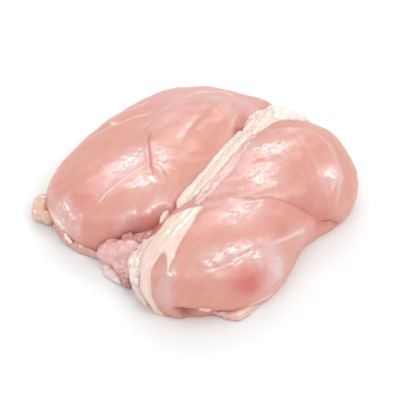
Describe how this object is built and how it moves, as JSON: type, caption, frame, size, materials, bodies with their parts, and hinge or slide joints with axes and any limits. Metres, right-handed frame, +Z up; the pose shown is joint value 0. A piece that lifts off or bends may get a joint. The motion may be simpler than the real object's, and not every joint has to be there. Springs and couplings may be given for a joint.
{
  "type": "raw chicken breast",
  "caption": "Whole boneless, skinless raw chicken breast: rounded lobes joined along a keel line of pale fat, lying flat.",
  "frame": {"origin": "middle of the bounding box in plan, at the flat underside the breast rests on", "axes": "+Z up, +Y along the keel line towards the neck end, +X across towards the folded right lobe"},
  "size_m": [0.1596, 0.1618, 0.0422],
  "materials": {
    "meat": "moist satin raw meat",
    "fat": "satin raw fat",
    "membrane": "wet glossy membrane"
  },
  "bodies": {
    "root": {"chicken_breast": "meat"}
  },
  "joints": []
}
